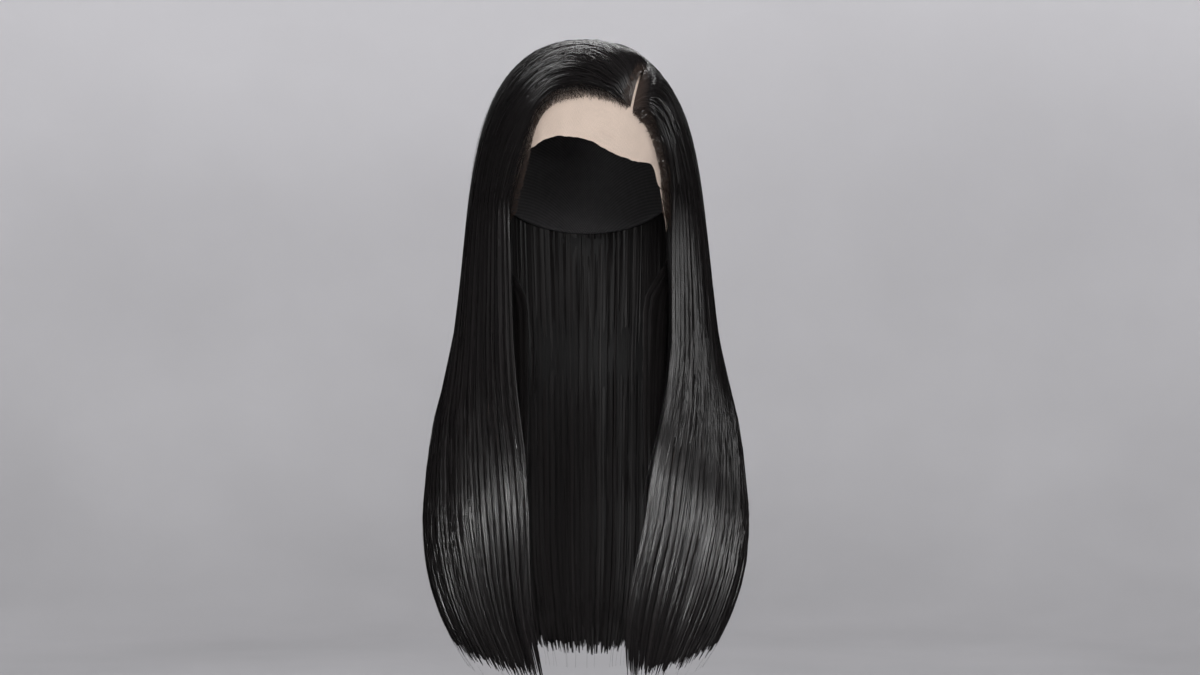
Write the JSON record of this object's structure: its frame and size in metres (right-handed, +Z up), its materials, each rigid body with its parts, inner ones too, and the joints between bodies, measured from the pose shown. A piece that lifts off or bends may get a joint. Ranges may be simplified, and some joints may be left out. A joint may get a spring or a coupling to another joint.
{
  "type": "lace front wig",
  "caption": "Long straight hair on an open cap with a sheer lace front, parted on the side, with a swoop over the forehead.",
  "frame": {"origin": "the point inside the cap where the top of the wearer's head touches it", "axes": "+Z up; the wearer faces -Y; the wearer's left is +X"},
  "size_m": [0.2736, 0.2227, 0.5357],
  "materials": {
    "hair": "glossy straight strands",
    "lace": "sheer fine net",
    "cap_net": "matt stretch net"
  },
  "bodies": {
    "root": {"cap": "cap_net", "lace_front": "lace", "right_ear_tab": "lace", "left_ear_tab": "lace", "right_front_hair": "hair", "left_front_hair": "hair", "back_hair": "hair", "right_neck_hair": "hair", "left_neck_hair": "hair"}
  },
  "joints": []
}
